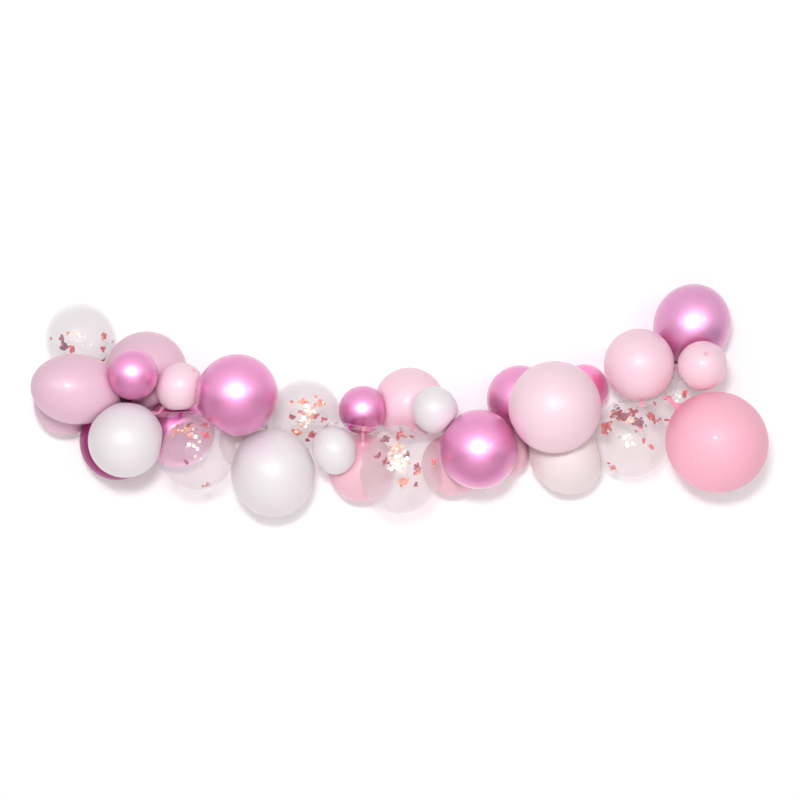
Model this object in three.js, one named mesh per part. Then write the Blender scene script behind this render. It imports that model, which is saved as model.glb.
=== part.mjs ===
// Balloon garland: latex balloons of mixed sizes tied to a clear decorating strip on a wall.
// Millimetres, +Z up. The wall is the plane y = 0 and the garland hangs in front of it, towards -Y.
// X runs along the garland. The origin is on the wall, at the fixing pad of the strip's left tab.
import * as THREE from 'three';

// Gaps between solids that touch
const SKIN_GAP = 0.4;
const WALL_GAP = 0.5;
const NECK_GAP = 0.8;
const KNOT_GAP = 0.5;

// The decorating strip: a flat tape with a hole for each balloon neck
const STRIP_WIDTH = 14;
const STRIP_THICKNESS = 1;
const HOLE_PITCH = 34;
const HOLE_ACROSS_CORNERS = 11;
const TAB_WIDTH = 22;
const TAB_PAD_LENGTH = 20;
const TAB_PIN_LENGTH = 20;
const PIN_HOLE_ACROSS_CORNERS = 3.8;
const TAB_BEND = 18;
// The left tab's fixing pad is at the origin, and the right tab's here
const RIGHT_TAB_X = 1628;
const RIGHT_TAB_Z = 50;

// The neck of a balloon, from its tail through the strip to the rolled lip
const NECK_RADIUS = 3.6;
const TAIL_RADIUS = 5.5;
const THROAT_RADIUS = 2;
const APPROACH = 16;
const KNOT_RADIUS = 5.5;
const KNOT_LENGTH = 7;
const LIP_RADIUS = 6.5;
const LIP_LENGTH = 9;
const TAIL_REACH = 1.12;

// Facets: a balloon wider than LARGE has the finer skin
const LARGE = 215;
const NECK_SIDES = 6;
const FINE_SKIN = { sides: 16, rings: 7 };
const PLAIN_SKIN = { sides: 12, rings: 6 };

// Latex and tape finishes
const FINISHES = {
  white: { color: 0xf2eff1, roughness: 0.35, metalness: 0 },
  cream: { color: 0xf3e9e2, roughness: 0.35, metalness: 0 },
  lilac: { color: 0xe6c3dc, roughness: 0.35, metalness: 0 },
  blush: { color: 0xf7d3de, roughness: 0.35, metalness: 0 },
  rose: { color: 0xfab9cd, roughness: 0.35, metalness: 0 },
  chrome: { color: 0xdc86be, roughness: 0.25, metalness: 0.9 },
  clear: { color: 0xe9e4e8, roughness: 0.1, metalness: 0, transparent: true, opacity: 0.35 },
  tape: { color: 0xf4f4f4, roughness: 0.3, metalness: 0, transparent: true, opacity: 0.5 },
};

// The balloon plan. x and z place the middle of a balloon, front is its distance from the wall,
// across and long are its width and its length from crown to tail, and tie is how far along the
// strip from its left end it is tied. A balloon points its crown away from its hole unless crown
// turns it.
// The node names number them in this order, which goes roughly from left to right.
const BALLOONS = [
  { finish: 'clear', across: 190, long: 198, x: -17, z: 114, front: 97, tie: 86 },
  { finish: 'lilac', across: 188, long: 248, x: 2, z: -26, front: 249, tie: 223,
    crown: [-0.85, -0.5, 0.1] },
  { finish: 'lilac', across: 178, long: 188, x: -54, z: -61, front: 92, tie: 52 },
  { finish: 'lilac', across: 216, long: 224, x: 165, z: 25, front: 110, tie: 155 },
  { finish: 'chrome', across: 134, long: 140, x: 154, z: 12, front: 263, tie: 258 },
  { finish: 'chrome', across: 202, long: 218, x: 84, z: -168, front: 104, tie: 189 },
  { finish: 'white', across: 197, long: 204, x: 136, z: -161, front: 269, tie: 292 },
  { finish: 'blush', across: 126, long: 137, x: 271, z: -20, front: 209, tie: 326 },
  { finish: 'chrome', across: 200, long: 204, x: 254, z: -141, front: 101, tie: 395 },
  { finish: 'clear', across: 202, long: 206, x: 324, z: -194, front: 240, tie: 464 },
  { finish: 'chrome', across: 218, long: 222, x: 430, z: -42, front: 251, tie: 532 },
  { finish: 'white', across: 228, long: 242, x: 520, z: -252, front: 170, tie: 635 },
  { finish: 'clear', across: 194, long: 200, x: 605, z: -94, front: 98, tie: 738 },
  { finish: 'white', across: 119, long: 136, x: 687, z: -189, front: 194, tie: 807 },
  { finish: 'chrome', across: 131, long: 134, x: 763, z: -82, front: 149, tie: 876 },
  { finish: 'blush', across: 194, long: 198, x: 891, z: -63, front: 98, tie: 1047 },
  { finish: 'white', across: 125, long: 130, x: 958, z: -82, front: 218, tie: 1116 },
  { finish: 'blush', across: 186, long: 192, x: 760, z: -243, front: 94, tie: 910 },
  { finish: 'clear', across: 218, long: 242, x: 866, z: -240, front: 240, tie: 1013,
    crown: [-0.05, -0.3, -0.95] },
  { finish: 'chrome', across: 211, long: 218, x: 1075, z: -187, front: 233, tie: 1219 },
  { finish: 'blush', across: 170, long: 174, x: 1009, z: -235, front: 86, tie: 1150 },
  { finish: 'chrome', across: 182, long: 186, x: 1196, z: -52, front: 92, tie: 1356 },
  { finish: 'blush', across: 138, long: 142, x: 1157, z: -199, front: 71, tie: 1288 },
  { finish: 'blush', across: 246, long: 252, x: 1277, z: -74, front: 260, tie: 1494 },
  { finish: 'cream', across: 198, long: 216, x: 1322, z: -209, front: 114, tie: 1425 },
  { finish: 'chrome', across: 135, long: 138, x: 1376, z: -24, front: 70, tie: 1528 },
  { finish: 'blush', across: 190, long: 196, x: 1514, z: 41, front: 177, tie: 1700 },
  { finish: 'chrome', across: 210, long: 227, x: 1669, z: 152, front: 110, tie: 1940,
    crown: [0.3, 0.05, 0.95] },
  { finish: 'blush', across: 133, long: 138, x: 1679, z: 37, front: 210, tie: 1871,
    crown: [0.22, -0.78, 0.58] },
  { finish: 'clear', across: 214, long: 218, x: 1498, z: -161, front: 108, tie: 1631 },
  { finish: 'clear', across: 181, long: 185, x: 1621, z: -47, front: 92, tie: 1837 },
  { finish: 'rose', across: 270, long: 276, x: 1717, z: -168, front: 216, tie: 1768 },
  { finish: 'cream', across: 132, long: 136, x: 428, z: -169, front: 68, tie: 567 },
];

// The strip's route between the balloons: x, distance from the wall, z. It leaves the left tab,
// comes forward, runs along the core and goes back to the right tab.
const PAD_TO_ROUTE = TAB_PAD_LENGTH / 2 + TAB_BEND;
const RIGHT_END_X = RIGHT_TAB_X - PAD_TO_ROUTE;
const ROUTE = [
  [PAD_TO_ROUTE, 8, 0], [29, 40, 2], [28, 80, 3], [30, 115, -4], [65, 150, -41],
  [125, 174, -71], [185, 188, -89], [245, 202, -95], [305, 190, -92], [365, 168, -105],
  [425, 162, -128], [485, 174, -125], [545, 192, -119], [605, 204, -119], [665, 206, -115],
  [725, 208, -125], [785, 204, -135], [845, 191, -129], [905, 182, -135], [965, 158, -137],
  [1025, 138, -133], [1085, 127, -131], [1145, 132, -137], [1205, 142, -140], [1265, 134, -115],
  [1325, 133, -90], [1385, 150, -86], [1445, 174, -73], [1505, 190, -69], [1565, 193, -59],
  [1605, 190, -35], [1618, 178, 0], [1624, 142, 38], [1606, 95, 50],
  [RIGHT_END_X, 40, RIGHT_TAB_Z], [RIGHT_END_X, 8, RIGHT_TAB_Z],
];

const UP = new THREE.Vector3(0, 0, 1);
const TO_WALL = new THREE.Vector3(0, 1, 0);
const unit = (v) => v.clone().normalize();
const between = (a, b, share) => a.clone().lerp(b, share);

// A mesh builder: loops of vertices stitched into one closed skin
class Skin {
  constructor() {
    this.points = [];
    this.faces = [];
  }

  add(point) {
    this.points.push(point);
    return this.points.length - 1;
  }

  addLoop(points) {
    return points.map((point) => this.add(point));
  }

  quad(a, b, c, d) {
    this.faces.push([a, b, c], [a, c, d]);
  }

  fan(tip, loop) {
    loop.forEach((corner, i) => this.faces.push([tip, corner, loop[(i + 1) % loop.length]]));
  }

  // Joins two loops that may have different counts, always taking the nearer next corner
  stitch(first, second) {
    let i = 0;
    let j = 0;
    while (i < first.length || j < second.length) {
      const a = first[i % first.length];
      const b = second[j % second.length];
      const firstIsNearer = (i + 1) / first.length <= (j + 1) / second.length;
      if (i < first.length && (firstIsNearer || j === second.length)) {
        i += 1;
        this.faces.push([a, b, first[i % first.length]]);
      } else {
        j += 1;
        this.faces.push([a, b, second[j % second.length]]);
      }
    }
  }

  volume() {
    return this.faces.reduce((sum, [a, b, c]) => {
      const cross = this.points[b].clone().cross(this.points[c]);
      return sum + this.points[a].dot(cross) / 6;
    }, 0);
  }

  geometry() {
    const inward = this.volume() < 0;
    const order = inward ? this.faces.map(([a, b, c]) => [a, c, b]) : this.faces;
    const geometry = new THREE.BufferGeometry();
    const flat = this.points.flatMap((point) => point.toArray());
    geometry.setAttribute('position', new THREE.Float32BufferAttribute(flat, 3));
    geometry.setIndex(order.flat());
    geometry.computeVertexNormals();
    return geometry;
  }
}

function mesh(name, finish, geometry) {
  const object = new THREE.Mesh(geometry, new THREE.MeshStandardMaterial(FINISHES[finish]));
  object.name = name;
  return object;
}

// Strip

// A cross-section of the strip: its middle, its width direction and its facing direction
function section(middle, along, halfWidth) {
  const wide = unit(UP.clone().addScaledVector(along, -UP.dot(along)));
  return { middle, wide, facing: along.clone().cross(wide), halfWidth };
}

function stripSections() {
  const points = ROUTE.map(([x, front, z]) => new THREE.Vector3(x, -front, z));
  const route = new THREE.CatmullRomCurve3(points, false, 'centripetal');
  route.arcLengthDivisions = 2000;
  const length = route.getLength();
  const holeCount = Math.floor(length / HOLE_PITCH);
  const run = Array.from({ length: holeCount + 1 }, (_, i) => {
    const share = i / holeCount;
    return section(route.getPointAt(share), route.getTangentAt(share), STRIP_WIDTH / 2);
  });
  // A tab lies flat on the wall past the bend: a pad to stick down, then an end with a pin hole
  const tab = (end, way) => [0, TAB_PAD_LENGTH, TAB_PAD_LENGTH + TAB_PIN_LENGTH].map((past) => {
    const middle = new THREE.Vector3(end.x + way * (TAB_BEND + past), -STRIP_THICKNESS / 2, end.z);
    return section(middle, new THREE.Vector3(1, 0, 0), TAB_WIDTH / 2);
  });
  const left = tab(points[0], -1).reverse();
  const right = tab(points[points.length - 1], 1);
  return { run, pitch: length / holeCount, all: [...left, ...run, ...right] };
}

// The middle of a cell between two sections, where its hole is
function cellMiddle(a, b) {
  const middle = between(a.middle, b.middle, 0.5);
  const wide = unit(a.wide.clone().add(b.wide));
  const along = unit(b.middle.clone().sub(a.middle));
  return { middle, wide, along, facing: along.clone().cross(wide) };
}

// The hole of each balloon: going along the strip, each one takes the free hole nearest to its tie
function chooseHoles(plans, strip) {
  const chosen = new Map();
  const free = strip.run.slice(1).map((after, i) => i);
  [...plans].sort((a, b) => a.tie - b.tie).forEach((plan) => {
    const away = (i) => Math.abs((i + 0.5) * strip.pitch - plan.tie);
    const nearest = free.reduce((m, i) => (away(i) < away(m) ? i : m));
    free.splice(free.indexOf(nearest), 1);
    chosen.set(plan, cellMiddle(strip.run[nearest], strip.run[nearest + 1]));
  });
  return chosen;
}

function stripGeometry(strip) {
  const skin = new Skin();
  const half = STRIP_THICKNESS / 2;
  // The four corners of a section, two on each face
  const corners = strip.all.map(({ middle, wide, facing, halfWidth }) => {
    const at = (side, face) => skin.add(middle.clone()
      .addScaledVector(wide, side * halfWidth).addScaledVector(facing, face * half));
    return { front: [at(-1, 1), at(1, 1)], back: [at(-1, -1), at(1, -1)] };
  });
  const last = corners.length - 1;
  const pinCells = new Set([0, last - 1]);
  const plainCells = new Set([1, 2, last - 3, last - 2]);
  for (let i = 0; i < last; i += 1) {
    const a = corners[i];
    const b = corners[i + 1];
    skin.quad(a.front[1], b.front[1], b.back[1], a.back[1]);
    skin.quad(a.back[0], b.back[0], b.front[0], a.front[0]);
    if (plainCells.has(i)) {
      skin.quad(a.front[0], b.front[0], b.front[1], a.front[1]);
      skin.quad(a.back[1], b.back[1], b.back[0], a.back[0]);
      continue;
    }
    const cell = cellMiddle(strip.all[i], strip.all[i + 1]);
    const reach = (pinCells.has(i) ? PIN_HOLE_ACROSS_CORNERS : HOLE_ACROSS_CORNERS) / 2;
    const hole = (face) => [[-1, 0], [0, 1], [1, 0], [0, -1]].map(([s, w]) => skin.add(cell.middle.clone()
      .addScaledVector(cell.along, s * reach).addScaledVector(cell.wide, w * reach)
      .addScaledVector(cell.facing, face * half)));
    const front = hole(1);
    const back = hole(-1);
    skin.stitch([a.front[0], a.front[1], b.front[1], b.front[0]], front);
    skin.stitch([a.back[0], b.back[0], b.back[1], a.back[1]], [back[0], back[3], back[2], back[1]]);
    skin.stitch(front, back);
  }
  const start = corners[0];
  const end = corners[last];
  skin.quad(start.front[0], start.front[1], start.back[1], start.back[0]);
  skin.quad(end.front[1], end.front[0], end.back[0], end.back[1]);
  return skin.geometry();
}

// Balloon bodies

// A body is a spheroid with a short cone at its tail. Planes press flats into it where it
// touches its neighbours, the wall, the strip and other necks.
function makeBody(plan, hole) {
  const centre = new THREE.Vector3(plan.x, -plan.front, plan.z);
  const reach = plan.long / 2 * TAIL_REACH;
  // The side of the strip that the neck comes from is the side where its tail is
  const turned = plan.crown && unit(new THREE.Vector3(...plan.crown));
  const tail = turned ? centre.clone().addScaledVector(turned, -reach) : centre;
  const side = Math.sign(tail.clone().sub(hole.middle).dot(hole.facing));
  const outward = hole.facing.clone().multiplyScalar(side);
  const approach = hole.middle.clone().addScaledVector(outward, APPROACH);
  return {
    plan, centre, hole, outward, reach,
    crown: turned || unit(centre.clone().sub(approach)),
    half: plan.across / 2,
    halfLong: plan.long / 2,
    planes: [],
  };
}

// How far a body reaches along a direction, from the origin
function support(body, direction) {
  const c = direction.dot(body.crown);
  const spheroid = Math.sqrt(body.half ** 2 * (1 - c * c) + body.halfLong ** 2 * c * c);
  return direction.dot(body.centre) + Math.max(spheroid, -c * body.reach);
}

const backOf = (body, direction) => -support(body, direction.clone().negate());

// The direction in which two bodies overlap least, found by turning a first guess step by step
function leastOverlap(a, b) {
  let best = unit(b.centre.clone().sub(a.centre));
  const depth = (n) => support(a, n) - backOf(b, n);
  let least = depth(best);
  for (let turn = 0.2; turn > 0.002; turn /= 2) {
    for (let tries = 0; tries < 6; tries += 1) {
      const u = unit(best.clone().cross(Math.abs(best.z) < 0.8 ? UP : TO_WALL));
      const v = best.clone().cross(u);
      const turned = [[1, 0], [-1, 0], [0, 1], [0, -1]].map(([p, q]) =>
        unit(best.clone().addScaledVector(u, p * turn).addScaledVector(v, q * turn)));
      const next = turned.reduce((m, n) => (depth(n) < depth(m) ? n : m));
      if (depth(next) >= least) break;
      best = next;
      least = depth(next);
    }
  }
  return best;
}

function pressTogether(a, b) {
  const n = leastOverlap(a, b);
  const middle = (support(a, n) + backOf(b, n)) / 2;
  a.planes.push({ n, d: middle - SKIN_GAP / 2 });
  b.planes.push({ n: n.clone().negate(), d: -middle - SKIN_GAP / 2 });
}

// Keeps a body clear of a round rod between two points
function keepClear(body, start, end, radius) {
  const nearest = new THREE.Vector3();
  new THREE.Line3(start, end).closestPointToPoint(body.centre, true, nearest);
  const n = unit(nearest.clone().sub(body.centre));
  body.planes.push({ n, d: n.dot(nearest) - radius - NECK_GAP });
}

function pressToWall(body) {
  body.planes.push({ n: TO_WALL, d: -WALL_GAP });
}

// Pulls a point of a body towards its centre until it is behind every plane
function pressed(body, point) {
  const arm = point.clone().sub(body.centre);
  const share = body.planes.reduce((least, { n, d }) => {
    const rise = n.dot(arm);
    return rise > 0 ? Math.min(least, (d - n.dot(body.centre)) / rise) : least;
  }, 1);
  return body.centre.clone().addScaledVector(arm, share);
}

// The neck runs from the tail to the approach, straight through the hole, then knot and lip
function neckRings(body) {
  const tail = pressed(body, body.centre.clone().addScaledVector(body.crown, -body.reach));
  const at = (distance) => body.hole.middle.clone().addScaledVector(body.outward, distance);
  const approach = at(Math.min(APPROACH, tail.distanceTo(body.hole.middle) * 0.45));
  const face = STRIP_THICKNESS / 2 + KNOT_GAP;
  return [
    { point: tail, radius: TAIL_RADIUS },
    { point: approach, radius: NECK_RADIUS },
    { point: at(face), radius: THROAT_RADIUS },
    { point: at(-face), radius: THROAT_RADIUS },
    { point: at(-face - 1), radius: KNOT_RADIUS },
    { point: at(-face - KNOT_LENGTH), radius: THROAT_RADIUS },
    { point: at(-face - KNOT_LENGTH - LIP_LENGTH), radius: LIP_RADIUS },
  ];
}

function circle(middle, u, v, radius, sides) {
  return Array.from({ length: sides }, (_, i) => {
    const angle = 2 * Math.PI * i / sides;
    return middle.clone()
      .addScaledVector(u, radius * Math.cos(angle)).addScaledVector(v, radius * Math.sin(angle));
  });
}

function balloonGeometry(body) {
  const skin = new Skin();
  const { sides, rings } = body.plan.across > LARGE ? FINE_SKIN : PLAIN_SKIN;
  const down = body.crown.clone().negate();
  let u = unit(down.clone().cross(Math.abs(down.z) < 0.8 ? UP : TO_WALL));
  const tip = skin.add(pressed(body, body.centre.clone().addScaledVector(body.crown, body.halfLong)));
  // The last ring is where the cone of the tail leaves the spheroid
  const lastAngle = Math.acos(-body.halfLong / body.reach);
  let loop = null;
  for (let k = 1; k <= rings; k += 1) {
    const angle = lastAngle * k / rings;
    const middle = body.centre.clone().addScaledVector(body.crown, body.halfLong * Math.cos(angle));
    const ring = circle(middle, u, down.clone().cross(u), body.half * Math.sin(angle), sides);
    const next = skin.addLoop(ring.map((point) => pressed(body, point)));
    if (loop) {
      skin.stitch(next, loop);
    } else {
      skin.fan(tip, next.slice().reverse());
    }
    loop = next;
  }
  const neck = body.neck;
  neck.forEach(({ point, radius }, i) => {
    const before = i > 0 ? unit(point.clone().sub(neck[i - 1].point)) : down;
    const after = i < neck.length - 1 ? unit(neck[i + 1].point.clone().sub(point)) : before;
    const along = unit(before.clone().add(after));
    u = unit(u.clone().addScaledVector(along, -u.dot(along)));
    const ring = circle(point, u, along.clone().cross(u), radius, NECK_SIDES);
    const next = skin.addLoop(i > 0 ? ring : ring.map((corner) => pressed(body, corner)));
    skin.stitch(next, loop);
    loop = next;
  });
  const lip = neck[neck.length - 1].point;
  const end = skin.add(lip);
  skin.fan(end, loop);
  return skin.geometry();
}

function buildGarland() {
  const garland = new THREE.Group();
  garland.name = 'balloon_garland';
  const strip = stripSections();
  garland.add(mesh('decorating_strip', 'tape', stripGeometry(strip)));
  const holes = chooseHoles(BALLOONS, strip);
  const bodies = BALLOONS.map((plan) => makeBody(plan, holes.get(plan)));
  const stripRadius = Math.hypot(STRIP_WIDTH, STRIP_THICKNESS) / 2;
  bodies.forEach((body, i) => {
    bodies.slice(i + 1).forEach((other) => pressTogether(body, other));
    pressToWall(body);
    for (let k = 1; k < strip.all.length; k += 1) {
      keepClear(body, strip.all[k - 1].middle, strip.all[k].middle, stripRadius);
    }
  });
  bodies.forEach((body) => {
    body.neck = neckRings(body);
  });
  bodies.forEach((body) => {
    bodies.filter((other) => other !== body).forEach(({ neck }) => {
      for (let k = 1; k < neck.length; k += 1) {
        const radius = Math.max(neck[k - 1].radius, neck[k].radius);
        keepClear(body, neck[k - 1].point, neck[k].point, radius);
      }
    });
  });
  bodies.forEach((body, i) => {
    const number = String(i + 1).padStart(2, '0');
    const { finish } = body.plan;
    garland.add(mesh(`balloon_${number}_${finish}`, finish, balloonGeometry(body)));
  });
  return garland;
}

export default buildGarland();
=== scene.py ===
# %% [markdown]
# # A balloon garland
#
# This lesson dresses a wall garland of 33 latex balloons, tied by their necks to a clear strip.
# The construction comes as a fixed frame: one plain faceted solid for every balloon, in its real
# place and size. Each solid is only a stand-in for collisions, so every balloon is modelled again
# here as thin stretched rubber, with flats where it leans on its neighbours.
# Everything is in metres. The wall is the plane y = 0, the viewer is on the -Y side, +Z is up.

# %% Load the frame
import math
import bpy
import numpy as np
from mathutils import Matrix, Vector
from mathutils.bvhtree import BVHTree


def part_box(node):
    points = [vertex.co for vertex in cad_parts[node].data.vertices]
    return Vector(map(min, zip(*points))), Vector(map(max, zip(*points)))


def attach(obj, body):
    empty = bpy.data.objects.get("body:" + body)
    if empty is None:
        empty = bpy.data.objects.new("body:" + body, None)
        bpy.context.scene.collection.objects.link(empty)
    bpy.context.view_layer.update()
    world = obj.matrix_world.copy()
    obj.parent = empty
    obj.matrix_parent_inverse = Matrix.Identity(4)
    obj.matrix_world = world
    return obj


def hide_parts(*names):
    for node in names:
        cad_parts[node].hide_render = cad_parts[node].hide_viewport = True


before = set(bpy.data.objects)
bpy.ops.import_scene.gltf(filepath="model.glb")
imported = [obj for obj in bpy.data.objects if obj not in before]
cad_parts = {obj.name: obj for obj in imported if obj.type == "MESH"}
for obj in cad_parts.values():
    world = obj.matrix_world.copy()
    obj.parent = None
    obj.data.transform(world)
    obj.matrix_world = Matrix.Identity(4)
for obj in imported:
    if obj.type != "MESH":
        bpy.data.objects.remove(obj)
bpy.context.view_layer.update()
MM = 0.001
balloon_nodes = sorted(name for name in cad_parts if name.startswith("balloon_"))
print("balloons in the frame:", len(balloon_nodes))

# %% [markdown]
# ## The camera
#
# The garland is seen straight on, from about as far as a person stands back to look at a wall.
# A long lens keeps the far ends from leaning. The camera is made first, because the confetti is
# placed later by looking through it.

# %% Camera
VIEW_MIDDLE = Vector((0.865, -0.2, -0.055))
VIEW_DISTANCE = 4.5
LENS = 75
SENSOR = 36
IMAGE_SIDE = 800

camera = bpy.data.objects.new("camera", bpy.data.cameras.new("camera"))
camera.data.lens = LENS
camera.data.sensor_width = SENSOR
camera.location = VIEW_MIDDLE - Vector((0, VIEW_DISTANCE, 0))
camera.rotation_euler = (math.radians(90), 0, 0)
bpy.context.scene.collection.objects.link(camera)
bpy.context.scene.camera = camera


def sight_line(px, py):
    """The direction from the camera through a pixel of the 800 x 800 photograph."""
    step = SENSOR / LENS / IMAGE_SIDE
    return Vector(((px - IMAGE_SIDE / 2) * step, 1, (IMAGE_SIDE / 2 - py) * step)).normalized()


print("the picture is", round(VIEW_DISTANCE * SENSOR / LENS, 3), "m wide at the garland")

# %% [markdown]
# ## Where the necks go
#
# A decorating strip is a soft plastic tape with a row of holes. Each neck is pushed through a
# hole, and its knot locks behind it. The holes could be typed in again, but reading them off the
# strip in the frame keeps the two models together. Each hole has four corners on either face, so
# the middles of facing corners come in groups of four, much closer together than the tape's edges.

# %% Read the strip
STRIP_THICKNESS = 1.0 * MM
SAME_CORNER = 0.05 * MM
HOLE_SPREAD = 12 * MM
SMALLEST_HOLE = 6 * MM


def unit(vector):
    """The direction of a vector."""
    return vector / np.linalg.norm(vector)


def corners_of(node):
    """The separate corner points of a node of the frame."""
    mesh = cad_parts[node].data
    flat = np.empty(len(mesh.vertices) * 3)
    mesh.vertices.foreach_get("co", flat)
    return np.unique(flat.reshape(-1, 3).round(6), axis=0)


def facing_pairs(corners):
    """Middles of corners that face each other through the tape, with the tape's normal there."""
    pairs = []
    for i, corner in enumerate(corners):
        gaps = np.linalg.norm(corners[i + 1:] - corner, axis=1)
        for j in np.nonzero(abs(gaps - STRIP_THICKNESS) < SAME_CORNER)[0]:
            other = corners[i + 1 + j]
            pairs.append(((corner + other) / 2, unit(corner - other)))
    return pairs


tape_pairs = facing_pairs(corners_of("decorating_strip"))
print("pairs of facing corners on the tape:", len(tape_pairs))

# %% Find the holes
def groups_of(pairs):
    """Groups of pairs that lie within a hole's width of each other."""
    waiting = list(pairs)
    groups = []
    while waiting:
        first = waiting.pop(0)
        near = [p for p in waiting if np.linalg.norm(p[0] - first[0]) < HOLE_SPREAD]
        waiting = [p for p in waiting if np.linalg.norm(p[0] - first[0]) >= HOLE_SPREAD]
        groups.append([first] + near)
    return groups


four_corners = [g for g in groups_of(tape_pairs) if len(g) == 4]
holes = []
pin_holes = []
for group in four_corners:
    middle = np.mean([p for p, _ in group], axis=0)
    across = max(np.linalg.norm(p - group[0][0]) for p, _ in group)
    (holes if across > SMALLEST_HOLE else pin_holes).append((middle, group[0][1]))
print("neck holes:", len(holes), " pin holes:", len(pin_holes))

# %% Put the holes in order along the tape
def in_order(start, waiting):
    """Walks from hole to nearest hole, from the left pin to the right end."""
    waiting = list(waiting)
    path = [start]
    while waiting:
        nearest = min(waiting, key=lambda hole: np.linalg.norm(hole[0] - path[-1][0]))
        waiting = [hole for hole in waiting if hole is not nearest]
        path.append(nearest)
    return path


pin_holes.sort(key=lambda hole: hole[0][0])
strip_path = in_order(pin_holes[0], holes) + [pin_holes[1]]
path_length = sum(np.linalg.norm(b[0] - a[0]) for a, b in zip(strip_path, strip_path[1:]))
print("tape length from pin to pin:", round(path_length, 3), "m")

# %% [markdown]
# ## The plan of the balloons
#
# An inflated balloon is close to a spheroid, a little longer from crown to neck than it is wide.
# These are the sizes and places that the solids were made from, in millimetres: width, length,
# x and z of the middle, and its distance from the wall. Most balloons stand straight out from
# their hole. The few that were twisted round on the garland have the direction of their crown.

# %% Plan
PLAN = [
    (190, 198, -17, 114, 97),
    (188, 248, 2, -26, 249, (-0.85, -0.5, 0.1)),
    (178, 188, -54, -61, 92),
    (216, 224, 165, 25, 110),
    (134, 140, 154, 12, 263),
    (202, 218, 84, -168, 104),
    (197, 204, 136, -161, 269),
    (126, 137, 271, -20, 209),
    (200, 204, 254, -141, 101),
    (202, 206, 324, -194, 240),
    (218, 222, 430, -42, 251),
    (228, 242, 520, -252, 170),
    (194, 200, 605, -94, 98),
    (119, 136, 687, -189, 194),
    (131, 134, 763, -82, 149),
    (194, 198, 891, -63, 98),
    (125, 130, 958, -82, 218),
    (186, 192, 760, -243, 94),
    (218, 242, 866, -240, 240, (-0.05, -0.3, -0.95)),
    (211, 218, 1075, -187, 233),
    (170, 174, 1009, -235, 86),
    (182, 186, 1196, -52, 92),
    (138, 142, 1157, -199, 71),
    (246, 252, 1277, -74, 260),
    (198, 216, 1322, -209, 114),
    (135, 138, 1376, -24, 70),
    (190, 196, 1514, 41, 177),
    (210, 227, 1669, 152, 110, (0.3, 0.05, 0.95)),
    (133, 138, 1679, 37, 210, (0.22, -0.78, 0.58)),
    (214, 218, 1498, -161, 108),
    (181, 185, 1621, -47, 92),
    (270, 276, 1717, -168, 216),
    (132, 136, 428, -169, 68),
]
print("balloons in the plan:", len(PLAN))

# %% One record for each balloon
TAIL_REACH = 1.12
APPROACH = 16 * MM
# A solid's throat is two rings of six corners, one on each face of the tape
THROAT_CORNERS = 12


class Balloon:
    """A balloon's sizes, its direction, and the planes that press flats into it."""

    def __init__(self, node, width, length, x, z, front, crown=None):
        self.node = node
        self.number = int(node.split("_")[1])
        self.finish = node.split("_")[2]
        self.centre = np.array((x, -front, z)) * MM
        self.half = width / 2 * MM
        self.half_long = length / 2 * MM
        self.reach = self.half_long * TAIL_REACH
        self.hole, facing = self.own_hole()
        tail = self.centre
        if crown:
            tail = self.centre - unit(np.array(crown)) * self.reach
        self.outward = facing * np.sign((tail - self.hole) @ facing)
        self.crown = unit(self.centre - self.hole - self.outward * APPROACH)
        if crown:
            self.crown = unit(np.array(crown))
        self.planes = []

    def own_hole(self):
        """The hole that the throat of this balloon's solid goes through."""
        corners = corners_of(self.node)

        def closeness(hole):
            away = np.sort(np.linalg.norm(corners - hole[0], axis=1))
            return away[:THROAT_CORNERS].sum()

        return min(holes, key=closeness)


balloons = [Balloon(node, *row) for node, row in zip(balloon_nodes, PLAN)]
worst = max(np.abs(np.mean(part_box(b.node), axis=0) - b.centre).max() for b in balloons)
print("farthest a solid's box middle is from its plan:", round(worst * 1000), "mm")

# %% [markdown]
# ## Pressed together
#
# Balloons that share a garland push flats into each other, as soap bubbles do. A physics run
# could find the flats, but two round balloons always meet on a plane, so it is enough to find
# that plane: it crosses the direction in which the two overlap least. The solids were made the
# same way, so skins made from the same planes fit them.

# %% The reach of a balloon
UP = np.array((0.0, 0.0, 1.0))
TO_WALL = np.array((0.0, 1.0, 0.0))
# The search turns its guess by ever smaller steps, with a few tries at each
TURNS = [0.2 / 2 ** k for k in range(7)]
TRIES = 6


def support(balloon, n):
    """How far a balloon reaches along a direction, measured from the origin."""
    c = n @ balloon.crown
    spheroid = math.sqrt(balloon.half ** 2 * (1 - c * c) + (balloon.half_long * c) ** 2)
    return n @ balloon.centre + max(spheroid, -c * balloon.reach)


def sideways(n):
    """Two directions at right angles to n."""
    u = unit(np.cross(n, UP if abs(n[2]) < 0.8 else TO_WALL))
    return u, np.cross(n, u)


def least_overlap(a, b):
    """The direction in which two balloons overlap least, found by turning a first guess."""
    best = unit(b.centre - a.centre)
    for turn in TURNS:
        for _ in range(TRIES):
            u, v = sideways(best)
            turned = [unit(best + turn * way) for way in (u, -u, v, -v)]
            nearest = min(turned, key=lambda n: support(a, n) + support(b, -n))
            if support(a, nearest) + support(b, -nearest) >= support(a, best) + support(b, -best):
                break
            best = nearest
    return best


print("top of the first balloon:", round(support(balloons[0], UP), 3), "m")

# %% Planes between neighbours
SKIN_GAP = 0.4 * MM
# Balloons farther apart than this leave each other alone
NEAR = 30 * MM


def press_together(a, b):
    """Gives two balloons a common flat, half a gap back on either side."""
    n = least_overlap(a, b)
    middle = (support(a, n) - support(b, -n)) / 2
    a.planes.append((n, middle - SKIN_GAP / 2))
    b.planes.append((-n, -middle - SKIN_GAP / 2))


touching = 0
for i, a in enumerate(balloons):
    for b in balloons[i + 1:]:
        if np.linalg.norm(a.centre - b.centre) < a.reach + b.reach + NEAR:
            press_together(a, b)
            touching += 1
print("pairs of neighbours:", touching)

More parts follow.
